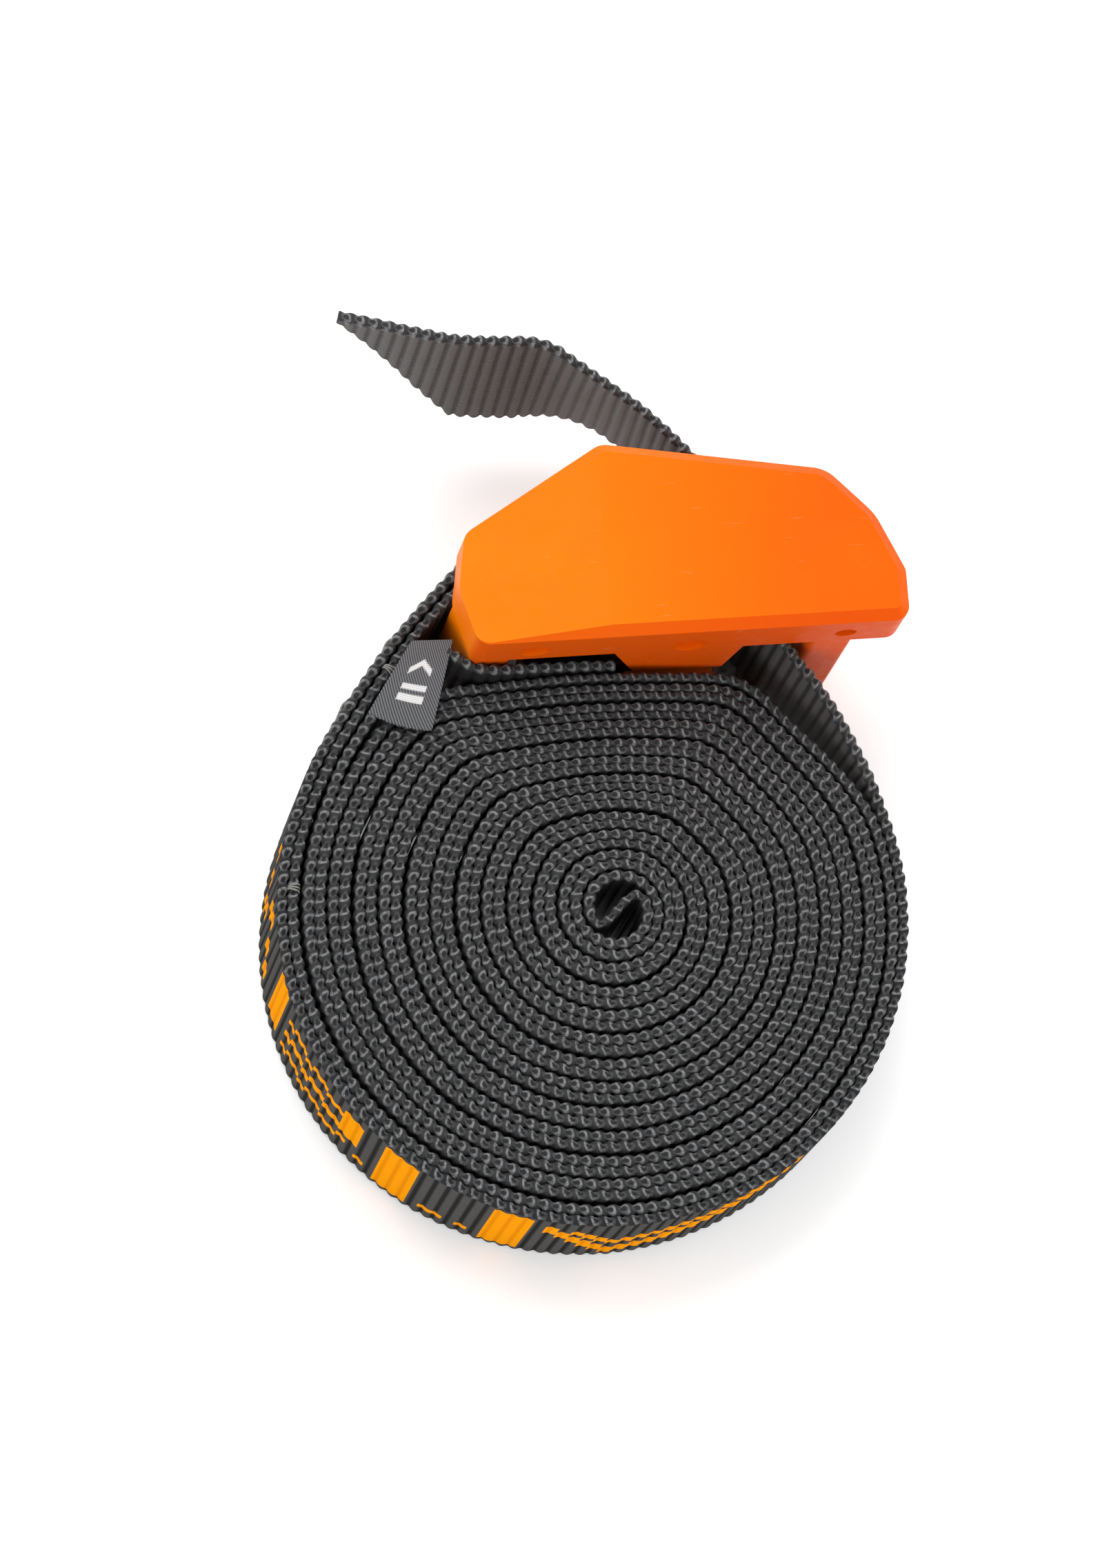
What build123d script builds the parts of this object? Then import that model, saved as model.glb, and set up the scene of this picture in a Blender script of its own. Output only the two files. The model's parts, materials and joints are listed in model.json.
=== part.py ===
"""Cam-buckle lashing strap: 25 mm webbing rolled flat, with the buckle on the outside of the roll.

Millimetres. +Z is up and runs along the width of the webbing. The buckle's length lies along +X and
its thumb side faces +Y. The drawing origin is the hole in the middle of the roll, on the floor;
save() moves every piece so that the finished part stands centred on its own origin.
"""

import math
import os

from build123d import *

# ---------------------------------------------------------------- driving dimensions
WEB_WIDTH = 25.0
WEB_T = 1.6

ROLL_CENTRE = (-3.3, -0.4)
ROLL_R = 43.8
ROLL_LEFT_DEG = 146.0
ROLL_RIGHT_DEG = 21.0
ROLL_TOP_Y = 32.2

BUCKLE_W = 45.0
CHANNEL_W = 26.0
MID_Z = BUCKLE_W / 2
LOW_Z = MID_Z - CHANNEL_W / 2
HIGH_Z = MID_Z + CHANNEL_W / 2
COVER_WALL = 2.0
COVER_FACE_T = 2.2
COVER_EDGE = 1.4
COVER_BASE_Y = 33.2
CHEEK_T = 1.6
CHEEK_GAP = 0.3

# outlines of the two covers, from the lower left corner round the thumb side
COVER_OUTLINE = [
    (-18.4, COVER_BASE_Y),
    (-20.4, 41.1),
    (-18.9, 49.0),
    (1.0, 60.7),
    (31.9, 55.4),
    (38.0, 48.6),
    (41.4, 40.4),
    (41.2, COVER_BASE_Y),
]
COVER_CORNER_R = [2.4, 6.0, 2.6, 3.0, 5.0, 8.0, 2.2, 2.2]
LOWER_OUTLINE = COVER_OUTLINE[:4] + [(28.8, 55.9), (34.2, 50.0), (35.0, 43.0), (34.8, COVER_BASE_Y)]
LOWER_CORNER_R = [2.4, 6.0, 2.6, 3.0, 4.0, 5.0, 6.0, 2.2]

AXLE = (10.5, 46.5)
AXLE_R = 2.5
CAM_TOOTH_R = 9.4
CAM_HUB_R = 5.2
CAM_TOOTH_DEPTH = 0.8
CAM_TOOTH_STEP = 6.0
CAM_W = 23.6
LEVER_TRAVEL = 20.0

ANVIL = (26.3, 48.0)
ANVIL_R = 4.0
LOOP_BAR = (-9.7, 48.5)
LOOP_BAR_R = 2.5
LOOP_BAR_END_R = 1.75
PIN_CLEARANCE = 0.05
PIN_END = 1.4
CLIP_T = 0.8
CLIP_R = 4.2

TONGUE_DEPTH = 9.5
TONGUE_TOP = (1.4, 19.3)
TONGUE_TIP = (5.4, 17.8)

TAIL_END = (-31.9, 84.0)
TAIL_CUT = 19.0

# cover screws as (x, y), face recesses as (x, rim depth, radius, z), bridge dowels as (x, z)
SCREW_SPOTS = [(-8.0, 41.3), (1.0, 53.0), (33.6, 45.2), (22.0, 40.2)]
LOWER_SCREW_SPOTS = [(-8.0, 41.3), (1.0, 53.0), (28.4, 41.2)]
SCREW_R = 1.5
SCREW_LENGTH = 6.0
BOSS_R = 2.8
RECESSES = [(-10.2, 0.7, 1.95, 38.8), (11.6, 0.9, 2.35, 37.4), (33.0, 1.8, 1.5, 39.0)]
DOWEL_SPOTS = [(-16.4, 38.6), (30.4, 36.0)]
DOWEL_R = 1.0
DOWEL_BOSS_R = 1.9
DOWEL_IN = 3.0

# steel base plate that holds the cheeks apart
BASE_Y = 36.0
BASE_T = 1.6
BASE_X = (-9.5, 19.5)
BASE_TABS = [-2.0, 12.0]
BASE_TAB_W = 6.0

# stop pin, and every pin seated in the cheeks as (centre, radius)
STOP = (14.0, 54.4)
STOP_R = 1.5
PIN_SEATS = [(AXLE, AXLE_R), (LOOP_BAR, LOOP_BAR_END_R), (ANVIL, AXLE_R), (STOP, STOP_R)]

# thumb pad, its rivets and the return spring
PAD_Y = 57.0
PAD_T = 2.4
PAD_LEFT = -1.6
ARM_T = 2.2
RIVET_X = [1.2, 6.6]
RIVET_Z = [MID_Z - 7.5, MID_Z + 7.5]
RIVET_R = 1.2
RIVET_HEAD_R = 1.9
SPRING_W = 6.4
SPRING_R = 4.0
SPRING_WIRE = 0.9
SPRING_PITCH = 1.3
SPRING_HEIGHT = 4 * SPRING_PITCH
SPRING_SHORT_LEG = 2.0

# webbing path through the buckle
STRAP_Z = MID_Z - WEB_WIDTH / 2
LOOP_PLIES = 2 * WEB_T
LOOP_KNEE = (-22.8, 43.2)
FEED_KNEE = (26.2, 32.6)
FEED_AT_ANVIL = ANVIL[0] - ANVIL_R - WEB_T / 2 - 0.1
FEED_END = (15.6, 61.2)
TAIL_START = (13.91, 63.99)

# middle of the finished part's footprint, seen from the drawing origin
SPAN_X = (ROLL_CENTRE[0] - ROLL_R, 41.37)
SPAN_Y = (ROLL_CENTRE[1] - ROLL_R, 84.78)
ORIGIN = (sum(SPAN_X) / 2, sum(SPAN_Y) / 2)


# ---------------------------------------------------------------- helpers
def save(shape, name):
    """Write one piece, moved from the drawing origin to the part's own."""
    export_step(Pos(-ORIGIN[0], -ORIGIN[1], 0) * shape, f"parts/{name}.step")


def on_circle(centre, radius, degrees):
    """The point at an angle on a circle."""
    turn = math.radians(degrees)
    return (centre[0] + radius * math.cos(turn), centre[1] + radius * math.sin(turn))


def prism(points, bottom, top):
    """A straight-sided solid over a polygon."""
    return Pos(0, 0, bottom) * extrude(make_face(Polyline(*points, close=True)), top - bottom)


def rounded_prism(points, radii, bottom, top):
    """A straight-sided solid over a polygon with a radius for each corner."""
    outline = FilletPolyline(*points, radius=radii, close=True)
    return Pos(0, 0, bottom) * extrude(make_face(outline), top - bottom)


def rod(centre, radius, bottom, top):
    """A round bar along Z."""
    return Pos(centre[0], centre[1], (bottom + top) / 2) * Cylinder(radius, top - bottom)


def band(path, bottom, thickness=WEB_T):
    """One ply of webbing that follows a flat path."""
    ply = extrude(trace(path, line_width=thickness), WEB_WIDTH)
    return Pos(0, 0, bottom) * ply


def sloped_ply(start, end, low, high, thickness):
    """A flat length of webbing that climbs from one height to another between two points."""
    along = Vector(end[0] - start[0], end[1] - start[1], 0).normalized()
    ends = []
    for point, z in ((start, low), (end, high)):
        plane = Plane(
            origin=(point[0], point[1], z + WEB_WIDTH / 2),
            x_dir=(-along.Y, along.X, 0),
            z_dir=(along.X, along.Y, 0),
        )
        ends.append(plane * Rectangle(thickness, WEB_WIDTH))
    return loft(ends)


def mirrored(shape):
    """The same shape on the other side of the buckle's middle plane."""
    return mirror(shape, about=Plane.XY.offset(MID_Z))


# ---------------------------------------------------------------- plastic housing
def side_cover(outline, corner_r, screw_spots, recesses):
    """A cover as the upper one lies: a smooth moulded side, a rim round it and a tongue on its base."""
    outer = rounded_prism(outline, corner_r, HIGH_Z, BUCKLE_W)
    outer = chamfer(outer.faces().sort_by(Axis.Z)[-1].edges(), COVER_EDGE)
    facet_drop = 1.6
    facet = Polyline((-22, BUCKLE_W - facet_drop), (0, BUCKLE_W), (-22, BUCKLE_W + 5), close=True)
    outer -= Pos(0, 70, 0) * extrude(Plane.XZ * make_face(facet), 50)
    shape = FilletPolyline(*outline, radius=corner_r, close=True)
    hollow = offset(make_face(shape), -COVER_WALL, kind=Kind.INTERSECTION)
    hollow_depth = BUCKLE_W - COVER_FACE_T - HIGH_Z
    cover = outer - Pos(0, 0, HIGH_Z) * extrude(hollow, hollow_depth)
    cover -= strap_mouth()
    for x, y in screw_spots:
        cover += rod((x, y), BOSS_R, HIGH_Z + CHEEK_T + CHEEK_GAP, BUCKLE_W - 1.0)
        cover -= rod((x, y), SCREW_R, HIGH_Z, HIGH_Z + SCREW_LENGTH + 0.4)
    cover += tongue()
    for x, depth, radius, z in recesses:
        hole = Pos(x, COVER_BASE_Y + depth / 2 - 0.5, z) * Rot(90, 0, 0) * Cylinder(radius, depth + 1)
        cover -= hole
    for spot in DOWEL_SPOTS:
        cover += rod(spot, DOWEL_BOSS_R, HIGH_Z, BUCKLE_W - 1.0) & outer
        cover -= rod(spot, DOWEL_R + PIN_CLEARANCE, HIGH_Z - 1, HIGH_Z + DOWEL_IN)
    return cover


def strap_mouth():
    """Room in the rim's inner edge, so that the strap's edges pass the cover freely."""
    return prism([(-24, 43.6), (-17.5, 43.6), (-14, 53.6), (-24, 53.6)], HIGH_Z - 1, HIGH_Z + 0.6)


def tongue():
    """The tapered tongue that reaches inward from the base wall."""
    outline = Polyline(
        (TONGUE_TOP[0], HIGH_Z),
        (TONGUE_TIP[0], HIGH_Z - TONGUE_DEPTH),
        (TONGUE_TIP[1], HIGH_Z - TONGUE_DEPTH),
        (TONGUE_TOP[1], HIGH_Z),
        (TONGUE_TOP[1], HIGH_Z + 0.5),
        (TONGUE_TOP[0], HIGH_Z + 0.5),
        close=True,
    )
    plate = extrude(Plane.XZ * make_face(outline), COVER_WALL)
    return Pos(0, COVER_BASE_Y + COVER_WALL, 0) * plate


def end_bridge():
    """The cross wall that joins the covers at the loop end, below the strap."""
    points = [
        (-18.0, 34.0),
        (-12.6, 34.0),
        (-12.6, 36.6),
        (-14.2, 37.4),
        (-15.4, 41.2),
        (-19.0, 42.2),
        (-20.1, 41.6),
        (-20.2, 41.1),
    ]
    radii = [1.2, 0.6, 0.8, 1.4, 0.8, 0.5, 0.2, 0.2]
    bridge = rounded_prism(points, radii, LOW_Z, HIGH_Z)
    return bridge - dowel_bores(DOWEL_SPOTS[0])


def entry_bridge():
    """The cross bar that joins the covers beside the slot where the strap comes in."""
    points = [(28.2, COVER_BASE_Y), (34.6, COVER_BASE_Y), (34.6, 36.6), (32.4, 38.4), (28.2, 38.4)]
    bridge = rounded_prism(points, [1.4, 0.6, 1.0, 1.0, 1.4], LOW_Z, HIGH_Z)
    return bridge - dowel_bores(DOWEL_SPOTS[1])


def dowel_bores(spot):
    """Blind bores in both ends of a bridge."""
    upper = rod(spot, DOWEL_R + PIN_CLEARANCE, HIGH_Z - DOWEL_IN, HIGH_Z + 1)
    return upper + mirrored(upper)


def bridge_dowels():
    """Steel dowels that locate the bridges in the covers."""
    pins = []
    for spot in DOWEL_SPOTS:
        pin = rod(spot, DOWEL_R, HIGH_Z - DOWEL_IN + 0.1, HIGH_Z + DOWEL_IN - 0.1)
        pins += [pin, mirrored(pin)]
    return Compound(pins)


# ---------------------------------------------------------------- steel frame
def cheek(outline, corner_r, screw_spots):
    """A steel cheek as the upper one lies, inside the rim of its cover."""
    shape = FilletPolyline(*outline, radius=corner_r, close=True)
    plate = offset(make_face(shape), -(COVER_WALL + CHEEK_GAP), kind=Kind.INTERSECTION)
    cheek_plate = Pos(0, 0, HIGH_Z) * extrude(plate, CHEEK_T)
    for centre, radius in PIN_SEATS:
        cheek_plate -= rod(centre, radius + PIN_CLEARANCE, HIGH_Z - 1, HIGH_Z + CHEEK_T + 1)
    for x, y in screw_spots:
        cheek_plate -= rod((x, y), SCREW_R + 0.1, HIGH_Z - 1, HIGH_Z + CHEEK_T + 1)
        cheek_plate -= screw_head_cone((x, y), 0.1)
    for spot in DOWEL_SPOTS:
        cheek_plate -= rod(spot, DOWEL_BOSS_R + 0.3, HIGH_Z - 1, HIGH_Z + CHEEK_T + 1)
    for x in BASE_TABS:
        cheek_plate -= Pos(x, BASE_Y + BASE_T / 2, HIGH_Z + CHEEK_T / 2) * Box(
            BASE_TAB_W + 0.1, BASE_T + 0.1, CHEEK_T + 1
        )
    return cheek_plate.solids().sort_by(SortBy.VOLUME)[-1]


def base_plate():
    """The steel floor between the cheeks, with tabs that key into them."""
    middle = (BASE_X[0] + BASE_X[1]) / 2
    length = BASE_X[1] - BASE_X[0]
    plate = Pos(middle, BASE_Y + BASE_T / 2, MID_Z) * Box(length, BASE_T, CHANNEL_W)
    for x in BASE_TABS:
        tab_length = CHANNEL_W + 2 * CHEEK_T
        plate += Pos(x, BASE_Y + BASE_T / 2, MID_Z) * Box(BASE_TAB_W, BASE_T, tab_length)
    return plate


def cross_pin(centre, radius, end_radius):
    """A pin through both cheeks, with a groove near each end for its clip."""
    reach = HIGH_Z + CHEEK_T + CLIP_T + PIN_END
    pin = rod(centre, end_radius, BUCKLE_W - reach, reach)
    if radius > end_radius:
        pin += rod(centre, radius, LOW_Z + 0.1, HIGH_Z - 0.1)
    groove_bottom = HIGH_Z + CHEEK_T + 0.1
    groove = rod(centre, end_radius + 1, groove_bottom, groove_bottom + CLIP_T + 0.1)
    groove -= rod(centre, end_radius - 0.6, groove_bottom - 1, groove_bottom + CLIP_T + 1)
    return pin - groove - mirrored(groove)


def pin_clips(centre, end_radius, opening):
    """The two E-clips of a cross pin, one outside each cheek, with the gap of each to one side."""
    bottom = HIGH_Z + CHEEK_T + 0.15
    clip = rod(centre, CLIP_R, bottom, bottom + CLIP_T)
    clip -= rod(centre, end_radius - 0.55, bottom - 1, bottom + CLIP_T + 1)
    gap = Pos(centre[0], centre[1], bottom) * Rot(0, 0, opening) * Pos(CLIP_R, 0, 0)
    clip -= gap * Box(2 * CLIP_R, 2 * end_radius - 1.6, 4)
    for side in (60, -60):
        notch = on_circle(centre, CLIP_R, opening + 180 + side)
        clip -= rod(notch, 1.0, bottom - 1, bottom + CLIP_T + 1)
    return Compound([clip, mirrored(clip)])


def loop_bar():
    """The shouldered bar that carries the sewn loop, riveted over outside both cheeks."""
    head_bottom = HIGH_Z + CHEEK_T + 0.05
    head = rod(LOOP_BAR, LOOP_BAR_END_R + 0.65, head_bottom, head_bottom + 0.9)
    bar = rod(LOOP_BAR, LOOP_BAR_END_R, BUCKLE_W - head_bottom, head_bottom)
    bar += rod(LOOP_BAR, LOOP_BAR_R, LOW_Z + 0.1, HIGH_Z - 0.1)
    return bar + head + mirrored(head)


def anvil_bar():
    """The fixed bar that the cam presses the strap against."""
    return cross_pin(ANVIL, ANVIL_R, AXLE_R)


def screw_head_cone(spot, ease):
    """The countersunk head of a cover screw, flush with the inside of the cheek."""
    head_r = 2.9 + ease
    cone = Cone(head_r, SCREW_R + ease, CHEEK_T, align=(Align.CENTER, Align.CENTER, Align.MIN))
    return Pos(spot[0], spot[1], HIGH_Z) * cone


def cover_screws(screw_spots):
    """Countersunk screws that hold a cheek in its cover, with a cross recess in each head."""
    screws = []
    for spot in screw_spots:
        screw = screw_head_cone(spot, 0)
        screw += rod(spot, SCREW_R - PIN_CLEARANCE, HIGH_Z + 0.5, HIGH_Z + SCREW_LENGTH)
        for turn in (0, 90):
            screw -= Pos(spot[0], spot[1], HIGH_Z) * Rot(0, 0, turn) * Box(2.6, 0.7, 1.6)
        screws.append(screw)
    return Compound(screws)


# ---------------------------------------------------------------- cam
def cam_radius(degrees):
    """How far the toothed rim lies from the axle; it grows upward, so that a pull on the strap locks it."""
    grow = 0.035 * degrees if degrees < 0 else 0.016 * degrees
    return CAM_TOOTH_R + grow


def cam():
    """The toothed cam and its lever arm, one casting with a bore for the axle."""
    rim = []
    for tooth in range(9):
        angle = -30 + tooth * CAM_TOOTH_STEP
        tip = cam_radius(angle)
        rim.append(on_circle(AXLE, tip - CAM_TOOTH_DEPTH, angle))
        rim.append(on_circle(AXLE, tip, angle + 0.8 * CAM_TOOTH_STEP))
    body_points = rim + [
        on_circle(AXLE, 7.4, 34),
        on_circle(AXLE, CAM_HUB_R, 62),
        on_circle(AXLE, CAM_HUB_R, 200),
        on_circle(AXLE, CAM_HUB_R, 250),
        on_circle(AXLE, 6.2, -62),
    ]
    low = MID_Z - CAM_W / 2
    high = MID_Z + CAM_W / 2
    body = prism(body_points, low, high) + rod(AXLE, CAM_HUB_R, low, high)
    arm = [
        on_circle(AXLE, 4.8, 55),
        (11.4, 56.4),
        (9.8, PAD_Y),
        (PAD_LEFT, PAD_Y),
        (PAD_LEFT, PAD_Y - ARM_T),
        (5.0, PAD_Y - ARM_T),
        on_circle(AXLE, 4.8, 165),
    ]
    body += rounded_prism(arm, [0.5, 1.0, 0.5, 0.5, 0.8, 3.0, 0.5], low, high)
    body -= rod(AXLE, AXLE_R + PIN_CLEARANCE, low - 1, high + 1)
    body -= spring_room()
    for x in RIVET_X:
        for z in RIVET_Z:
            body -= Pos(x, PAD_Y - 1, z) * Rot(90, 0, 0) * Cylinder(RIVET_R + PIN_CLEARANCE, 8)
            head_room = Cylinder(RIVET_HEAD_R + 0.2, 5, align=(Align.CENTER, Align.CENTER, Align.MIN))
            body -= Pos(x, PAD_Y - ARM_T, z) * Rot(90, 0, 0) * head_room
    return body


def spring_room():
    """The pocket across the middle of the cam's hub where the torsion spring sits on the axle."""
    pocket = rod(AXLE, CAM_HUB_R + 0.9, MID_Z - SPRING_W / 2, MID_Z + SPRING_W / 2)
    side = Pos(AXLE[0] - 6.0, AXLE[1] - 2.6, MID_Z) * Box(12.0, 7.2, SPRING_W)
    return pocket + side


def thumb_pad():
    """The ribbed plastic pad on the lever."""
    low = MID_Z - CAM_W / 2
    high = MID_Z + CAM_W / 2
    pad = rounded_prism(
        [(PAD_LEFT - 0.8, PAD_Y), (9.6, PAD_Y), (9.2, PAD_Y + PAD_T), (0.2, PAD_Y + PAD_T)],
        [0.3, 0.3, 0.9, 2.0],
        low,
        high,
    )
    for rib in range(5):
        groove = Pos(1.4 + rib * 1.7, PAD_Y + PAD_T, MID_Z) * Cylinder(0.4, CAM_W + 2)
        pad -= groove
    for x in RIVET_X:
        for z in RIVET_Z:
            pad -= Pos(x, PAD_Y, z) * Rot(90, 0, 0) * Cylinder(RIVET_R + PIN_CLEARANCE, 2.4)
    return pad


def pad_rivets():
    """The four rivets that hold the thumb pad on the lever."""
    rivets = []
    for x in RIVET_X:
        for z in RIVET_Z:
            shank = Pos(x, PAD_Y - ARM_T / 2 + 0.5, z) * Rot(90, 0, 0) * Cylinder(RIVET_R, ARM_T + 1)
            head = Pos(x, PAD_Y - ARM_T - 0.4, z) * Rot(90, 0, 0) * Cylinder(RIVET_HEAD_R, 0.8)
            rivets.append(shank + head)
    return Compound(rivets)


def cam_washers():
    """Thin washers between the cam and the cheeks."""
    bottom = MID_Z + CAM_W / 2 + 0.2
    washer = rod(AXLE, CAM_HUB_R, bottom, HIGH_Z - 0.2)
    washer -= rod(AXLE, AXLE_R + PIN_CLEARANCE, bottom - 1, HIGH_Z + 1)
    return Compound([washer, mirrored(washer)])


def torsion_spring():
    """The spring that turns the cam back onto the strap; its long leg rests on the base plate."""
    coils = Helix(SPRING_PITCH, SPRING_HEIGHT, SPRING_R)
    short_leg = Line(coils @ 0 - (coils % 0) * SPRING_SHORT_LEG, coils @ 0)
    long_leg = Line(coils @ 1, coils @ 1 + (coils % 1) * (AXLE[1] - BASE_Y - BASE_T - PIN_CLEARANCE * 2))
    wire = Wire([short_leg, coils, long_leg])
    section = Plane(origin=wire @ 0, z_dir=wire % 0) * Circle(SPRING_WIRE / 2)
    spring = sweep(section, path=wire)
    return Pos(AXLE[0], AXLE[1], MID_Z - SPRING_HEIGHT / 2) * Rot(0, 0, 180) * spring


def lever_stop():
    """The small pin across the cheeks that the lever's arm comes up against."""
    return rod(STOP, STOP_R, LOW_Z - CHEEK_T, HIGH_Z + CHEEK_T)


# ---------------------------------------------------------------- strap
def strap_roll():
    """The roll of doubled webbing as one plain solid, flattened under the buckle."""
    left_out = on_circle(ROLL_CENTRE, ROLL_R, ROLL_LEFT_DEG)
    bottom = on_circle(ROLL_CENTRE, ROLL_R, 270)
    right_out = on_circle(ROLL_CENTRE, ROLL_R, ROLL_RIGHT_DEG)
    right_in = on_circle(ROLL_CENTRE, ROLL_R - WEB_T - 0.4, ROLL_RIGHT_DEG)
    left_in = on_circle(ROLL_CENTRE, ROLL_R - 2 * WEB_T - 0.4, ROLL_LEFT_DEG)
    outline = [
        ThreePointArc(left_out, bottom, right_out),
        Line(right_out, right_in),
        ThreePointArc(right_in, (27.8, 24.8), (19.0, 30.0)),
        ThreePointArc((19.0, 30.0), (2.0, ROLL_TOP_Y), (-15.0, 31.6)),
        ThreePointArc((-15.0, 31.6), (-26.0, 28.3), left_in),
        Line(left_in, left_out),
    ]
    return extrude(make_face(outline), WEB_WIDTH)


LOOP_START = on_circle(ROLL_CENTRE, ROLL_R - WEB_T, ROLL_LEFT_DEG - 0.5)


def strap_loop():
    """The sewn double end: it climbs from the roll and closes round the loop bar."""
    climb = sloped_ply(LOOP_START, LOOP_KNEE, 0, STRAP_Z, LOOP_PLIES)
    reach = LOOP_BAR_R + WEB_T / 2 + 0.05
    toward = math.degrees(math.atan2(LOOP_BAR[1] - LOOP_KNEE[1], LOOP_BAR[0] - LOOP_KNEE[0]))
    outer_side = on_circle(LOOP_BAR, reach, toward + 100)
    inner_side = on_circle(LOOP_BAR, reach, toward - 100)
    far_side = on_circle(LOOP_BAR, reach, toward)
    half = WEB_T / 2
    side = math.radians(toward + 90)
    knee_out = (LOOP_KNEE[0] + half * math.cos(side), LOOP_KNEE[1] + half * math.sin(side))
    knee_in = (LOOP_KNEE[0] - half * math.cos(side), LOOP_KNEE[1] - half * math.sin(side))
    path = [
        Line(knee_out, outer_side),
        ThreePointArc(outer_side, far_side, inner_side),
        Line(inner_side, knee_in),
    ]
    return climb + band(path, STRAP_Z)


FEED_START = on_circle(ROLL_CENTRE, ROLL_R - WEB_T / 2, ROLL_RIGHT_DEG + 0.5)


def strap_feed():
    """The single ply from the roll into the slot, up between cam and anvil, and out on the thumb side."""
    climb = sloped_ply(FEED_START, FEED_KNEE, 0, STRAP_Z, WEB_T)
    route = [FEED_KNEE, (FEED_AT_ANVIL, 44.4), (FEED_AT_ANVIL, 51.6), FEED_END]
    return climb + band(FilletPolyline(*route, radius=5), STRAP_Z)


def strap_tail():
    """The loose end beyond the buckle, cut on a slant."""
    route = [FEED_END, TAIL_START, (-1.6, 77.4), (-14.0, 78.6), TAIL_END]
    tail = band(FilletPolyline(*route, radius=6), STRAP_Z)
    slant = Polyline(
        (TAIL_END[0] - 5, STRAP_Z - 1),
        (TAIL_END[0] + TAIL_CUT + 0.8, STRAP_Z - 1),
        (TAIL_END[0] - 0.8, STRAP_Z + WEB_WIDTH + 1),
        (TAIL_END[0] - 5, STRAP_Z + WEB_WIDTH + 1),
        close=True,
    )
    return tail - Pos(0, 95, 0) * extrude(Plane.XZ * make_face(slant), 30)


def loop_stitching():
    """Two rows of bar tacks on the outer face of the sewn double ply."""
    rows = []
    along = Vector(LOOP_KNEE[0] - LOOP_START[0], LOOP_KNEE[1] - LOOP_START[1], 0)
    facing = Vector(-along.Y, along.X, 0).normalized()
    for share in (0.28, 0.72):
        middle = Vector(LOOP_START[0], LOOP_START[1], WEB_WIDTH / 2) + along * share
        middle += Vector(0, 0, STRAP_Z * share) + facing * (LOOP_PLIES / 2 + 0.2)
        plane = Plane(origin=middle, x_dir=along.normalized(), z_dir=facing)
        for step in range(5):
            rows.append(plane * Pos(0, (step - 2) * 4.2, 0) * Box(1.4, 3.0, 0.4))
    return Compound(rows)


def label_tag():
    """The folded woven size tag that lies out over the roll beside the sewn end."""
    corners = [(-20.8, 38.6), (-22.8, 27.0), (-31.0, 29.0), (-23.4, 38.6)]
    tag = prism(corners, WEB_WIDTH + 0.4, WEB_WIDTH + 0.9)
    return tag


def main():
    os.makedirs("parts", exist_ok=True)
    upper = (COVER_OUTLINE, COVER_CORNER_R, SCREW_SPOTS)
    lower = (LOWER_OUTLINE, LOWER_CORNER_R, LOWER_SCREW_SPOTS)
    save(side_cover(*upper, RECESSES), "cover_upper")
    save(mirrored(side_cover(*lower, RECESSES[:2])), "cover_lower")
    save(end_bridge(), "end_bridge")
    save(entry_bridge(), "entry_bridge")
    save(bridge_dowels(), "bridge_dowels")

    save(cheek(*upper), "cheek_upper")
    save(mirrored(cheek(*lower)), "cheek_lower")
    save(base_plate(), "base_plate")
    save(anvil_bar(), "anvil_bar")
    save(pin_clips(ANVIL, AXLE_R, 0), "anvil_clips")
    save(loop_bar(), "loop_bar")
    save(cross_pin(AXLE, AXLE_R, AXLE_R), "cam_axle")
    save(pin_clips(AXLE, AXLE_R, -90), "cam_axle_clips")
    save(lever_stop(), "lever_stop")
    save(cover_screws(SCREW_SPOTS), "cover_screws_upper")
    save(mirrored(cover_screws(LOWER_SCREW_SPOTS)), "cover_screws_lower")

    save(cam(), "cam")
    save(thumb_pad(), "thumb_pad")
    save(pad_rivets(), "thumb_pad_rivets")
    save(cam_washers(), "cam_washers")
    save(torsion_spring(), "torsion_spring")

    save(strap_roll(), "strap_roll")
    save(strap_loop(), "strap_loop")
    save(strap_feed(), "strap_feed")
    save(strap_tail(), "strap_tail")
    save(loop_stitching(), "loop_stitching")
    save(label_tag(), "label_tag")


main()
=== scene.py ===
"""Looks of the cam-buckle lashing strap: ribbed webbing, moulded covers, plated steel and a studio.

Lengths are in millimetres, in the part's drawing frame, and place() turns them into the row frame's
metres: the drawing origin is the hole in the middle of the roll, on the floor.
"""

import json
import math

import bpy
import numpy as np
from mathutils import Matrix, Vector


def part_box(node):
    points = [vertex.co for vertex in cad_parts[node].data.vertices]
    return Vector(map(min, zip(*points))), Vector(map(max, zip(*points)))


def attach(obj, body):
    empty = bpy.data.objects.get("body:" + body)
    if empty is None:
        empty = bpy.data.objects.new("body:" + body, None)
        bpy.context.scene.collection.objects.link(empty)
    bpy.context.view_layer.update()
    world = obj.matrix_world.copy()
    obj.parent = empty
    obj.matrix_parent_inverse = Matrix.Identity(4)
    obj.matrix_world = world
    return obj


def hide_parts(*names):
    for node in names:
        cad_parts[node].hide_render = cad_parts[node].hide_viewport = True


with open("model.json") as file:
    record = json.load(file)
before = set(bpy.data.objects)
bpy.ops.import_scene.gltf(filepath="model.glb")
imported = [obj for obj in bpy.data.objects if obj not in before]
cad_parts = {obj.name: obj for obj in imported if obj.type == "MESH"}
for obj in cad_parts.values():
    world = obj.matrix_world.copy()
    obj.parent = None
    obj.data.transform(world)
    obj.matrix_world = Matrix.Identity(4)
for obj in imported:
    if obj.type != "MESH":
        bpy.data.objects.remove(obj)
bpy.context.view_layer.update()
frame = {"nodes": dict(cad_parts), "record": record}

BODY = "strap_and_buckle"
MM = 0.001

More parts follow.
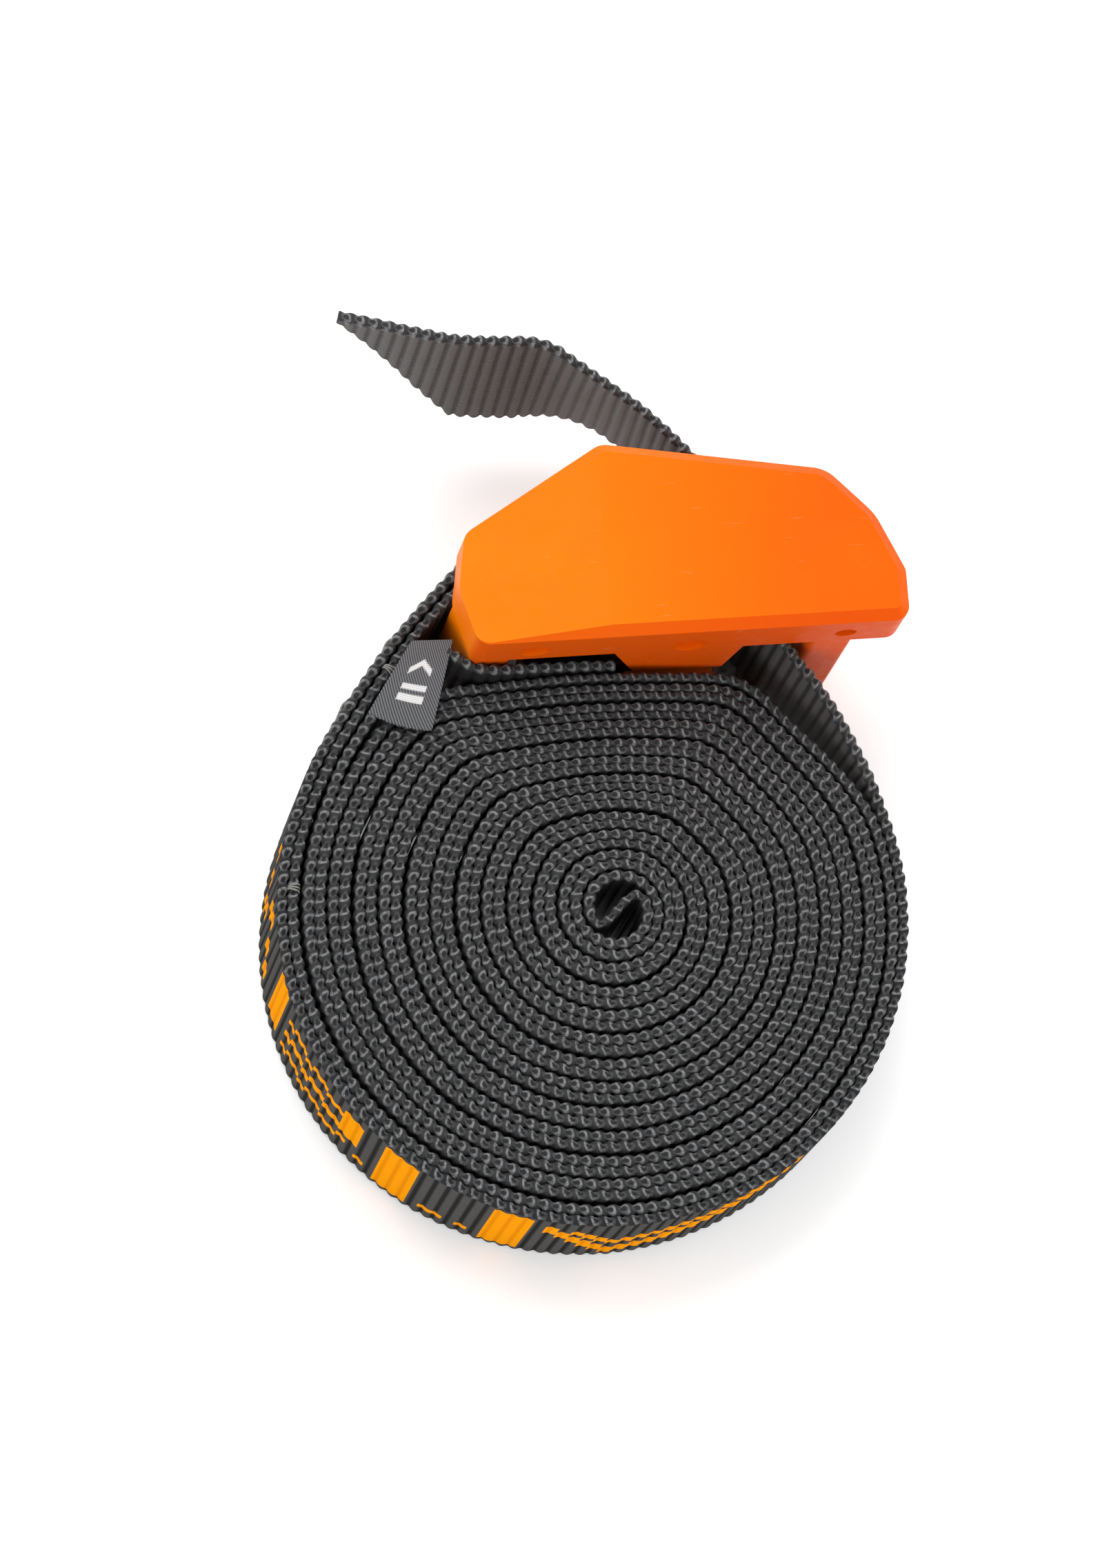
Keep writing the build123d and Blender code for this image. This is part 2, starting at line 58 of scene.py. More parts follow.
# ---------------------------------------------------------------- webbing
WEB_W = 25.0
WEB_T = 1.5
ROLLED_T = 1.74
RIB = 1.85
STATIONS_PER_RIB = 9
RIB_DEPTH = 0.34
RIB_ROUNDNESS = 0.7
EDGE_R = 0.75
EDGE_REACH = 1.6
BEAD_ROUNDNESS = 0.8
BEAD_SKEW = 0.12
TAIL_CUT = 19.0
TAIL_TIP = 1.0
FLOOR_GAP = 0.05
LIFT = 10.0  # from the floor to the strap's lower edge, inside the buckle
BAR_CENTRE = (-9.7, 48.5)
ROUND_BAR_R = 3.5

# ---------------------------------------------------------------- roll
ROLL_R = 43.8
ROLL_CENTRE = (-3.3, -0.4)
RING_R = 43.0
RING_FROM_DEG = 16.0
RING_LEAN = 1.1
CORE_R = 3.9
CORE_DEG = 9.9
SPIRAL_TURNS = 11.61
SPIRAL_END_DEG = CORE_DEG - 360 * SPIRAL_TURNS + 360 * 12
HEM_TURNS = 11.1
PLY_PITCH = 1.62
FLAT_Y = 31.5
FLAT_EASE = 10.0
SLACK = 0.21
SLACK_DEG = 42.0
SLACK_SPREAD_DEG = 17.0
RISE = 7.5
RISE_DEG = 95.0
RISE_SPREAD_DEG = 32.0
RISE_POWER = 5
SQUEEZE_POWER = 0.5
SQUEEZE_MOST = 1.05
RING_FROM_TURNS = SPIRAL_TURNS - 0.63
RING_END_DEG = -210
RING_STEP_DEG = 6
STEPS_PER_TURN = 60
PLY_SPLIT = 0.03
WAVER = 0.07
SWAY = 0.22
FLUTTER = 0.12
ROLL_LIFT = 0.3
CORE_T = 1.3

roll_low, roll_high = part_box("strap_roll")
HOLE = Vector(
    (
        (roll_low.x + roll_high.x) / 2 - ROLL_CENTRE[0] * MM,
        roll_low.y + (ROLL_R - ROLL_CENTRE[1]) * MM,
        0.0,
    )
)


def place(x, y, z):
    """A drawing point in the row frame, in metres."""
    return HOLE + Vector((x, y, z)) * MM


def on_circle(centre, radius, degrees):
    """The point on a circle in one direction."""
    turn = math.radians(degrees)
    return (centre[0] + radius * math.cos(turn), centre[1] + radius * math.sin(turn))


def smoothstep(value):
    """A value held between 0 and 1 and eased at both ends."""
    value = min(max(value, 0.0), 1.0)
    return value * value * (3 - 2 * value)


# ---------------------------------------------------------------- material nodes
class Shade:
    """A material, with short calls for the nodes it is made of."""

    # the mixing node's two inputs and its output, for each kind of value
    MIX_SOCKETS = {"FLOAT": (2, 3, 0), "RGBA": (6, 7, 2)}

    def __init__(self, name):
        self.material = bpy.data.materials.new(name)
        self.material.use_nodes = True
        self.tree = self.material.node_tree
        self.shader = self.tree.nodes["Principled BSDF"]

    def give(self, socket, value):
        """Link a socket's value, or set a plain one."""
        if isinstance(value, bpy.types.NodeSocket):
            self.tree.links.new(value, socket)
        elif hasattr(value, "__len__") and len(value) == 3 and socket.type == "RGBA":
            socket.default_value = (*value, 1.0)
        else:
            socket.default_value = value

    def math(self, operation, a, b=0.5):
        """One step of arithmetic on two values."""
        node = self.tree.nodes.new("ShaderNodeMath")
        node.operation = operation
        self.give(node.inputs[0], a)
        self.give(node.inputs[1], b)
        return node.outputs[0]

    def span(self, value, low, high, to_low=0.0, to_high=1.0):
        """A value's place between low and high, eased at both ends."""
        node = self.tree.nodes.new("ShaderNodeMapRange")
        node.interpolation_type = "SMOOTHSTEP"
        self.give(node.inputs["Value"], value)
        node.inputs["From Min"].default_value = low
        node.inputs["From Max"].default_value = high
        node.inputs["To Min"].default_value = to_low
        node.inputs["To Max"].default_value = to_high
        return node.outputs["Result"]

    def attribute(self, name):
        """A value kept on the mesh."""
        node = self.tree.nodes.new("ShaderNodeAttribute")
        node.attribute_name = name
        return node

    def split(self, vector):
        """A vector's three parts."""
        node = self.tree.nodes.new("ShaderNodeSeparateXYZ")
        self.give(node.inputs[0], vector)
        return node.outputs

    def scaled(self, vector, scale):
        """A vector times a scale along each axis."""
        node = self.tree.nodes.new("ShaderNodeMapping")
        self.give(node.inputs["Vector"], vector)
        node.inputs["Scale"].default_value = scale
        return node.outputs[0]

    def position(self):
        """The point in the row frame, in millimetres."""
        geometry = self.tree.nodes.new("ShaderNodeNewGeometry")
        return self.scaled(geometry.outputs["Position"], (1 / MM, 1 / MM, 1 / MM))

    def normal(self):
        """The three parts of the direction the surface faces."""
        return self.split(self.tree.nodes.new("ShaderNodeNewGeometry").outputs["Normal"])

    def noise(self, vector, scale, detail=3.0, roughness=0.55):
        """A soft random value, scale times per unit of the vector."""
        node = self.tree.nodes.new("ShaderNodeTexNoise")
        self.give(node.inputs["Vector"], vector)
        node.inputs["Scale"].default_value = scale
        node.inputs["Detail"].default_value = detail
        node.inputs["Roughness"].default_value = roughness
        return node.outputs["Fac"]

    def mix(self, share, a, b, kind="RGBA"):
        """Two colours, or two plain numbers, mixed by a share."""
        node = self.tree.nodes.new("ShaderNodeMix")
        node.data_type = kind
        first, second, result = self.MIX_SOCKETS[kind]
        self.give(node.inputs[0], share)
        self.give(node.inputs[first], a)
        self.give(node.inputs[second], b)
        return node.outputs[result]

    def bump(self, height_mm, strength=1.0):
        """Raise the surface's fine relief by a height in millimetres."""
        node = self.tree.nodes.new("ShaderNodeBump")
        node.inputs["Strength"].default_value = strength
        node.inputs["Distance"].default_value = MM
        self.give(node.inputs["Height"], height_mm)
        self.give(self.shader.inputs["Normal"], node.outputs[0])

    def set(self, **values):
        """Give the shader its values and return the finished material."""
        names = {
            "colour": "Base Color",
            "roughness": "Roughness",
            "metallic": "Metallic",
            "specular": "Specular IOR Level",
            "sheen": "Sheen Weight",
            "sheen_roughness": "Sheen Roughness",
        }
        for name, value in values.items():
            self.give(self.shader.inputs[names[name]], value)
        return self.material


def ripple(shade, value, pitch):
    """A wave from 0 to 1 that repeats every pitch."""
    turns = shade.math("MULTIPLY", value, 2 * math.pi / pitch)
    return shade.math("MULTIPLY_ADD", shade.math("SINE", turns), 0.5)


THREAD_PITCH = 0.46
TWIST_PITCH = 0.34
LOOPED_BAND = (WEB_W / 2 - 1.25, WEB_W / 2 - 0.45)
LOOP_MIDDLE = 0.62
LOOP_R = 0.30
LOOP_WIDTH = 0.46
LOOP_SLANT = 0.16


def webbing_material(name, face_dark, face_light, figured=False):
    """Charcoal ribbed polyester: warp threads over the ribs, looped yarn along both edges, with painted
    shade in the rib valleys and between the edge loops and a painted highlight on each loop.
    """
    shade = Shade(name)
    strap = shade.attribute("strap").outputs["Vector"]
    along, through, across = shade.split(strap)
    fibre = shade.noise(shade.scaled(strap, (2.2, 6.0, 9.0)), 1.0, 4.0, 0.65)
    patch = shade.noise(strap, 0.35, 3.0)

    wander = shade.math("MULTIPLY", shade.noise(shade.scaled(strap, (0.6, 1.0, 1.0)), 1.0), 0.9)
    thread = ripple(shade, shade.math("ADD", across, wander), THREAD_PITCH)
    fuzz = shade.math("MULTIPLY", fibre, 0.07)
    face_height = shade.math("ADD", shade.math("MULTIPLY", thread, 0.05), fuzz)

    # each rib's yarn turns back at the edge in a small loop
    from_middle = shade.math("ABSOLUTE", shade.math("SUBTRACT", across, WEB_W / 2))
    at_edge = shade.span(from_middle, *LOOPED_BAND)
    sideways = shade.math("MULTIPLY", through, LOOP_SLANT)
    slanted = shade.math("ADD", shade.math("DIVIDE", along, RIB), sideways)
    place_in_loop = shade.math("SUBTRACT", shade.math("FRACT", slanted), LOOP_MIDDLE)
    squared = shade.math("MULTIPLY", place_in_loop, place_in_loop)
    width = shade.math("MULTIPLY", through, LOOP_WIDTH)
    radius = shade.math("SQRT", shade.math("ADD", squared, shade.math("MULTIPLY", width, width)))
    off_ring = shade.math("ABSOLUTE", shade.math("SUBTRACT", radius, LOOP_R))
    ring = shade.span(off_ring, 0.06, 0.18, 1.0, 0.0)
    # painted highlight: the upper half of each edge loop is lighter, dimmed in random patches
    painted_highlight_crescent = shade.math("MULTIPLY", ring, shade.span(place_in_loop, -0.30, 0.12, 0.25, 1.0))
    worn = shade.span(shade.noise(strap, 2.3, 3.0, 0.6), 0.36, 0.60, 0.35, 1.0)
    painted_highlight_crescent = shade.math("MULTIPLY", painted_highlight_crescent, worn)
    twist = ripple(shade, shade.math("ADD", shade.math("MULTIPLY", radius, 2.6), along), TWIST_PITCH)
    loop_height = shade.math("ADD", shade.math("MULTIPLY", ring, 0.34), shade.math("MULTIPLY", twist, 0.04))
    loop_height = shade.math("ADD", loop_height, shade.math("MULTIPLY", fibre, 0.12))
    shade.bump(shade.mix(at_edge, face_height, loop_height, "FLOAT"), 0.9)

    face = shade.mix(fibre, face_dark, face_light)
    # painted shade: the edges' base colour is darker than the faces, for the shade in the gaps between the
    # loops
    edge = shade.mix(fibre, (0.009, 0.009, 0.010), (0.048, 0.049, 0.051))
    yarn = shade.mix(fibre, (0.100, 0.101, 0.105), (0.380, 0.383, 0.390))
    edge = shade.mix(painted_highlight_crescent, edge, yarn)
    dusty = shade.math("MULTIPLY", shade.span(patch, 0.45, 0.75), 0.3)
    edge = shade.mix(dusty, edge, (0.040, 0.040, 0.038))
    # painted shade: the faces are darker in the valleys between the ribs
    crown = ripple(shade, shade.math("ADD", along, RIB / 4), RIB)
    face = shade.mix(shade.span(crown, 0.0, 0.6, 0.8, 0.0), face, (0.006, 0.006, 0.006))
    if figured:
        orange = shade.mix(fibre, (0.74, 0.20, 0.0), (1.0, 0.42, 0.002))
        # painted shade in the rib valleys of the orange figures too
        orange = shade.mix(shade.span(crown, 0.0, 0.4, 0.30, 0.0), orange, (0.45, 0.09, 0.0))
        face = shade.mix(shade.attribute("figure").outputs["Fac"], face, orange)
    colour = shade.mix(at_edge, face, edge)
    return shade.set(
        colour=colour,
        roughness=shade.span(fibre, 0.3, 0.7, 0.38, 0.62),
        specular=0.0 if figured else 0.24,
        sheen=0.02,
        sheen_roughness=0.35,
    )


def plastic_material():
    """Satin orange nylon with painted shade that makes it redder on its walls and towards one end, with
    scuffs along one rim.
    """
    shade = Shade("orange_nylon")
    point = shade.position()
    x, y, _ = shade.split(point)
    facing = shade.normal()
    cloud = shade.noise(point, 0.055, 3.0)
    mottle = shade.noise(point, 0.6, 4.0, 0.6)
    # painted shade: redder and darker towards the +x end
    warm = shade.mix(shade.span(x, -16.0, 44.0), (0.86, 0.190, 0.0002), (0.83, 0.100, 0.0002))
    warm = shade.mix(shade.math("MULTIPLY", shade.span(cloud, 0.35, 0.7), 0.35), warm, (0.86, 0.140, 0.0002))
    # painted shade: redder on the walls, the surfaces that face -y
    painted_shade_on_walls = shade.span(facing[1], -0.25, -0.85)
    warm = shade.mix(shade.math("MULTIPLY", painted_shade_on_walls, 0.75), warm, (0.74, 0.072, 0.002))

    hairline = shade.noise(shade.scaled(point, (0.25, 3.2, 0.25)), 1.0, 2.0, 0.5)
    scuffs = shade.noise(shade.scaled(point, (0.5, 2.4, 1.0)), 1.3, 5.0, 0.7)
    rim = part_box("cover_upper")[0].y / MM
    near_rim = shade.span(y, rim + 1.7, rim - 0.2)
    worn = shade.math("MULTIPLY", near_rim, shade.span(scuffs, 0.64, 0.74))
    rubbed = shade.math("MULTIPLY", shade.span(hairline, 0.72, 0.76), 0.10)
    marks = shade.math("MAXIMUM", shade.math("MULTIPLY", worn, 0.35), rubbed)
    colour = shade.mix(marks, warm, (1.0, 0.52, 0.30))

    grain = shade.noise(point, 7.0, 2.0, 0.5)
    height = shade.math("ADD", shade.math("MULTIPLY", grain, 0.012), shade.math("MULTIPLY", marks, 0.03))
    height = shade.math("ADD", height, shade.math("MULTIPLY", cloud, 0.25))
    shade.bump(height, 0.7)
    return shade.set(
        colour=colour,
        roughness=shade.span(mottle, 0.3, 0.7, 0.36, 0.48),
        specular=0.06,
    )


def black_plastic_material():
    """Black nylon with a fine grain, a little lighter and smoother where it is worn."""
    shade = Shade("black_nylon")
    point = shade.position()
    grain = shade.noise(point, 4.5, 3.0, 0.6)
    wear = shade.noise(point, 0.5, 4.0)
    shade.bump(shade.math("MULTIPLY", grain, 0.06), 0.8)
    return shade.set(
        colour=shade.mix(wear, (0.016, 0.016, 0.017), (0.035, 0.035, 0.036)),
        roughness=shade.span(wear, 0.3, 0.7, 0.42, 0.6),
        specular=0.45,
    )


def steel_material(name, light, dark, along, roughness):
    """Metal with a drawn or turned grain along one direction."""
    shade = Shade(name)
    point = shade.position()
    grain = shade.noise(shade.scaled(point, along), 3.0, 3.0, 0.6)
    stain = shade.noise(point, 0.35, 4.0, 0.6)
    shade.bump(shade.math("MULTIPLY", grain, 0.02), 0.6)
    return shade.set(
        colour=shade.mix(shade.span(stain, 0.3, 0.7), dark, light),
        metallic=1.0,
        roughness=shade.span(grain, 0.3, 0.7, roughness - 0.08, roughness + 0.1),
    )


def thread_material():
    """Twisted sewing thread."""
    shade = Shade("sewing_thread")
    point = shade.position()
    x, y, z = shade.split(point)
    twist = ripple(shade, shade.math("ADD", shade.math("ADD", x, y), z), 0.32)
    fibre = shade.noise(point, 8.0, 3.0)
    shade.bump(shade.math("ADD", shade.math("MULTIPLY", twist, 0.05), shade.math("MULTIPLY", fibre, 0.04)))
    return shade.set(
        colour=shade.mix(fibre, (0.12, 0.118, 0.11), (0.38, 0.37, 0.34)),
        roughness=0.6,
        sheen=0.3,
        sheen_roughness=0.4,
    )


def label_material():
    """Grey satin with a diagonal twill and a plain woven mark of bars and a chevron."""
    shade = Shade("label_satin")
    across, down, _ = shade.split(shade.attribute("weave").outputs["Vector"])
    fine = shade.noise(shade.attribute("weave").outputs["Vector"], 9.0, 3.0)
    diagonal = shade.math("ADD", across, shade.math("MULTIPLY", down, 0.8))
    twill = ripple(shade, diagonal, 0.42)
    weft = ripple(shade, down, 0.24)
    satin = shade.mix(shade.math("POWER", twill, 2.0), (0.035, 0.036, 0.040), (0.19, 0.195, 0.205))
    mark = shade.attribute("mark").outputs["Fac"]
    light = shade.mix(weft, (0.55, 0.55, 0.56), (0.86, 0.86, 0.85))
    height = shade.math("ADD", shade.math("MULTIPLY", twill, 0.05), shade.math("MULTIPLY", weft, 0.02))
    height = shade.math("ADD", height, shade.math("MULTIPLY", mark, 0.1))
    height = shade.math("ADD", height, shade.math("MULTIPLY", fine, 0.03))
    shade.bump(height)
    return shade.set(
        colour=shade.mix(mark, satin, light),
        roughness=0.42,
        sheen=0.25,
        sheen_roughness=0.3,
    )


# ---------------------------------------------------------------- the strap's line
def ring_radius(degrees):
    """How far the outermost ply is from the hole, in one direction."""
    turn = math.radians(degrees)
    ahead = ROLL_CENTRE[0] * math.cos(turn) + ROLL_CENTRE[1] * math.sin(turn)
    apart = ROLL_CENTRE[0] ** 2 + ROLL_CENTRE[1] ** 2
    return ahead + math.sqrt(ahead * ahead - apart + RING_R * RING_R)


def under_ring(degrees, turns):
    """The growth per turn that puts the last of some turns just inside the outermost ply."""
    return (ring_radius(degrees) - PLY_PITCH - CORE_R) / turns


def growth(degrees):
    """The plies' growth per turn in one direction, when free and under the buckle, and the turns."""
    whole = int(SPIRAL_TURNS)
    part = (CORE_DEG - degrees) % 360 / 360
    turns = whole + part if part < SPIRAL_TURNS - whole else whole - 1 + part
    degrees %= 360
    if not RING_FROM_DEG < degrees < SPIRAL_END_DEG:
        return under_ring(degrees, turns), under_ring(degrees, turns), turns
    share = smoothstep((degrees - RING_FROM_DEG) / (SPIRAL_END_DEG - RING_FROM_DEG))
    right = under_ring(RING_FROM_DEG, RING_FROM_TURNS)
    left = under_ring(SPIRAL_END_DEG, SPIRAL_TURNS)
    free = right + (left - right) * share
    slack = free - SLACK * math.exp(-(((degrees - SLACK_DEG) / SLACK_SPREAD_DEG) ** 2))
    pressed = (FLAT_Y / math.sin(math.radians(degrees)) - CORE_R) / turns
    pressed = -math.log(math.exp(-FLAT_EASE * slack) + math.exp(-FLAT_EASE * pressed)) / FLAT_EASE
    return free, pressed, turns


def spiral(start_deg, turns, side):
    """One of the roll's two plies, from the core outwards, clockwise from above."""
    rows = []
    steps = round(turns * STEPS_PER_TURN)
    for step in range(steps + 1):
        wound = step / STEPS_PER_TURN
        degrees = start_deg - 360 * wound
        free, pressed, most = growth(degrees)
        squeeze = (free - pressed) * min(wound / most, SQUEEZE_MOST) ** SQUEEZE_POWER
        radius = CORE_R + (free - squeeze) * (wound + side * PLY_SPLIT * min(wound, 1))
        radius += WAVER * math.sin(3.4 * wound + side)
        x, y = on_circle((0, 0), radius, degrees)
        low = ROLL_LIFT + SWAY * math.sin(0.9 * wound * 2 * math.pi / 3 + side)
        low += FLUTTER * math.sin(9.1 * wound)
        off = (degrees - RISE_DEG + 180) % 360 - 180
        low += RISE * (wound / SPIRAL_TURNS) ** RISE_POWER * math.exp(-((off / RISE_SPREAD_DEG) ** 2))
        spacing = free - squeeze * (1 + SQUEEZE_POWER)
        rows.append((x, y, low, 0.0, min(ROLLED_T, 0.5 * spacing)))
    return rows


def core():
    """The single ply that crosses the hole in an S, from one spiral's start to the other's."""
    start = Vector(on_circle((0, 0), CORE_R, CORE_DEG))
    heading = Vector(on_circle((0, 0), 2.4, CORE_DEG + 90))
    slant = Vector((1.5, 1.7))
    steps = 6
    half = []
    for step in range(1, steps):
        t = step / steps
        point = start * (1 - t) ** 3 + (start + heading) * 3 * t * (1 - t) ** 2
        half.append(point + slant * 3 * t * t * (1 - t))
    points = half + [Vector((0, 0))] + [-point for point in reversed(half)]
    return [(p.x, p.y, 0.1, 0.0, CORE_T) for p in points]


def ring():
    """The outermost ply, clockwise from the right round the bottom to the left."""
    rows = []
    for degrees in range(int(RING_FROM_DEG), RING_END_DEG, -RING_STEP_DEG):
        low = smoothstep((degrees + 12) / 28) + smoothstep((-184 - degrees) / 26)
        lean = RING_LEAN * max(math.sin(math.radians(-degrees)), 0) ** 2
        rows.append((*on_circle(ROLL_CENTRE, RING_R - lean / 2, degrees), low, lean, WEB_T))
    return rows


def strap_line():
    """Control rows (x, y, height of the lower edge, lean of the upper edge, thickness) from the tail."""
    tail = [
        (-31.9, 84.0, LIFT, 0.0),
        (-27.5, 82.6, LIFT, 0.6),
        (-22.9, 81.0, LIFT, 1.3),
        (-17.3, 79.1, LIFT, 2.0),
        (-12.6, 78.2, LIFT, 2.5),
        (-6.4, 77.85, LIFT, 2.8),
        (-3.0, 77.4, LIFT, 2.0),
        (-0.6, 76.5, LIFT, 0.2),
        (2.2, 75.2, LIFT, -1.6),
        (6.3, 72.6, LIFT, -2.9),
        (11.4, 67.9, LIFT, -2.6),
        (15.6, 61.2, LIFT, -0.6),
    ]
    feed = [
        (19.0, 56.4, LIFT, 0.0),
        (21.4, 51.6, LIFT, 0.0),
        (21.4, 44.4, LIFT, 0.0),
        (22.6, 38.6, 9.8, 0.0),
        (26.2, 32.6, 8.8, 0.0),
        (30.3, 27.7, 6.6, 0.0),
        (33.5, 22.8, 4.0, 0.0),
        (36.6, 16.6, 1.6, 0.0),
    ]
    left_out = [
        (-38.6, 25.2, 1.4, 0.0),
        (-28.4, 38.2, 5.0, 0.0),
        (-18.0, 47.8, 8.4, 0.0),
        (-14.4, 50.3, 9.4, 0.0),
    ]
    around = []
    for degrees in range(112, -92, -34):
        around.append((*on_circle(BAR_CENTRE, ROUND_BAR_R, degrees), LIFT, 0.0))
    left_in = [
        (-13.6, 45.8, 9.6, 0.0),
        (-17.0, 46.4, 8.6, 0.0),
        (-27.2, 37.0, 5.0, 0.0),
        (-37.2, 24.4, 1.4, 0.0),
    ]
    rows = [(*row, WEB_T) for row in tail + feed]
    rows += ring()
    rows += [(*row, WEB_T) for row in left_out + around + left_in]
    rows += spiral(CORE_DEG, SPIRAL_TURNS, 1)[::-1]
    rows += core()
    rows += spiral(CORE_DEG + 180, HEM_TURNS, -1)
    hem = [
        (-35.9, 23.2, 1.6, 0.0),
        (-30.6, 30.0, 3.4, 0.0),
        (-25.4, 35.9, 6.0, 0.0),
        (-21.8, 37.0, 7.6, 0.0),
        (-19.4, 34.5, 7.7, 0.0),
        (-16.4, 32.9, 7.4, 0.0),
        (-9.0, 33.1, 6.8, 0.0),
        (2.4, 33.1, 5.6, 0.0),
    ]
    rows += [(*row, WEB_T) for row in hem]
    return np.array(rows)


def soften(rows, rounds=3):
    """Cut the corners of a line of rows until it is smooth."""
    for _ in range(rounds):
        ahead = rows[:-1] * 0.75 + rows[1:] * 0.25
        behind = rows[:-1] * 0.25 + rows[1:] * 0.75
        between = np.stack([ahead, behind], 1).reshape(-1, rows.shape[1])
        rows = np.vstack([rows[:1], between, rows[-1:]])
    return rows


def evenly(rows, step):
    """The same line with one row every step."""
    lengths = np.linalg.norm(np.diff(rows[:, :3], axis=0), axis=1)
    along = np.concatenate([[0], np.cumsum(lengths)])
    at = np.arange(0, along[-1], step)
    return np.stack([np.interp(at, along, column) for column in rows.T], 1)


STEP = RIB / STATIONS_PER_RIB
LINE = evenly(soften(strap_line()), STEP)


def station(x, y):
    """The number of the row nearest a drawing point."""
    return int(np.argmin(np.hypot(LINE[:, 0] - x, LINE[:, 1] - y)))


# ---------------------------------------------------------------- webbing meshes
def section(columns, top_points, bottom_points):
    """The strap's section as (side, across): side is 1 on the left of the line and -1 on the right."""
    face = np.linspace(EDGE_R, WEB_W - EDGE_R, columns)
    over = np.linspace(0, math.pi, top_points + 2)[1:-1]
    under = np.linspace(0, math.pi, bottom_points + 2)[1:-1]
    left = np.stack([np.ones(columns), face], 1)
    top = np.stack([np.cos(over), WEB_W - EDGE_R + EDGE_R * np.sin(over)], 1)
    right = np.stack([-np.ones(columns), face[::-1]], 1)
    bottom = np.stack([-np.cos(under), EDGE_R - EDGE_R * np.sin(under)], 1)
    return np.vstack([left, top, right, bottom])


def webbing(name, first, last, columns, edges, material, slant=0.0, figures=None):
    """One closed length of strap between two stations, ribbed on its faces and beaded on its edges."""
    rows = LINE[first : last + 1]
    along = np.arange(first, last + 1) * STEP
    before = LINE[np.clip(np.arange(first, last + 1) - 2, 0, len(LINE) - 1)]
    after = LINE[np.clip(np.arange(first, last + 1) + 2, 0, len(LINE) - 1)]
    tangent = after[:, :2] - before[:, :2]
    tangent /= np.linalg.norm(tangent, axis=1)[:, None]
    left = np.stack([-tangent[:, 1], tangent[:, 0]], 1)

    shape = section(columns, *edges)
    side, across = shape[:, 0][None, :], shape[:, 1][None, :]
    s = along[:, None]
    jitter = np.random.default_rng(7).normal(0, 1, int(len(LINE) / STATIONS_PER_RIB) + 2)
    wobble = jitter[(s / RIB + 0.5).astype(int)]

    rib = np.abs(np.cos(math.pi * s / RIB)) ** RIB_ROUNDNESS
    bead = np.abs(np.cos(math.pi * (s / RIB + BEAD_SKEW * side))) ** BEAD_ROUNDNESS
    from_edge = np.minimum(across, WEB_W - across)
    edge = np.clip(1 - from_edge / (EDGE_R * EDGE_REACH), 0, 1)
    half = rows[:, 4:5] / 2
    on_face = half * (1 - RIB_DEPTH * (1 - rib))
    on_edge = half * (0.50 + 0.56 * bead + 0.04 * wobble)
    offset = side * (on_face * (1 - edge) + on_edge * edge)

    outward = np.where(across > WEB_W / 2, 1.0, -1.0)
    height = across + outward * edge * (0.80 * bead - 0.62 + 0.08 * wobble)
    if slant:
        cut = np.clip(1 - s / slant, 0, 1) * (WEB_W - TAIL_TIP)
        height = WEB_W - (WEB_W - height) * (WEB_W - cut) / WEB_W
        across = height
    offset = offset + rows[:, 3:4] * (height / WEB_W - 0.5)

    x = rows[:, 0:1] + left[:, 0:1] * offset
    y = rows[:, 1:2] + left[:, 1:2] * offset
    z = np.maximum(rows[:, 2:3] + height, FLOOR_GAP)
    points = np.stack([x, y, z], 2).reshape(-1, 3) * MM + np.array(HOLE)

    count, around = len(rows), shape.shape[0]
    ring_of = np.arange(around)
    start = (np.arange(count - 1) * around)[:, None]
    here = start + ring_of
    beside = start + (ring_of + 1) % around
    quads = np.stack([here, beside, beside + around, here + around], 2).reshape(-1, 4)
    faces = quads.tolist()
    faces.append(list(range(around))[::-1])
    faces.append([(count - 1) * around + i for i in range(around)])

    mesh = bpy.data.meshes.new(name)
    mesh.from_pydata(points.tolist(), [], faces)
    mesh.polygons.foreach_set("use_smooth", [True] * len(quads) + [False, False])
    flow = np.stack([np.broadcast_to(values, x.shape) for values in (s, side * half, across)], 2)
    layer = mesh.attributes.new("strap", "FLOAT_VECTOR", "POINT")
    layer.data.foreach_set("vector", flow.astype(np.float32).ravel())
    if figures:
        rib_of = np.floor((along[:-1] - along[0]) / RIB + 0.5)[:, None]
        middle = (across[0] + np.roll(across[0], -1)) / 2
        cells = (count - 1, around)
        shown = figures(np.broadcast_to(rib_of, cells), np.broadcast_to(middle, cells))
        shown = shown & (side > 0.99) & (np.roll(side, -1) > 0.99)
        colour = mesh.attributes.new("figure", "FLOAT", "FACE")
        colour.data.foreach_set("value", np.concatenate([shown.ravel(), [0, 0]]).astype(np.float32))
    mesh.materials.append(material)
    mesh.update()
    piece = bpy.data.objects.new(name, mesh)
    bpy.context.scene.collection.objects.link(piece)
    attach(piece, BODY)
    return piece, (last - first) * STEP


# the woven figures, in rib numbers along the outermost ply and millimetres across it
BARS = ((52, 55, 1.8, 23.2), (61, 64, 1.8, 23.2), (66, 68, 10.0, 21.0), (77, 79, 4.0, 23.2))
DASHES = ((56, 57, 5.0), (58, 60, 5.0), (65, 66, 5.0), (24, 26, 20.0), (27, 28, 18.0))
DASH_HALF_W = 1.0
RAILS = (6.5, 12.5, 18.5)
RAIL_HALF_W = 1.05
RAIL_STEP = 0.8
CHEVRON_TIP = 45


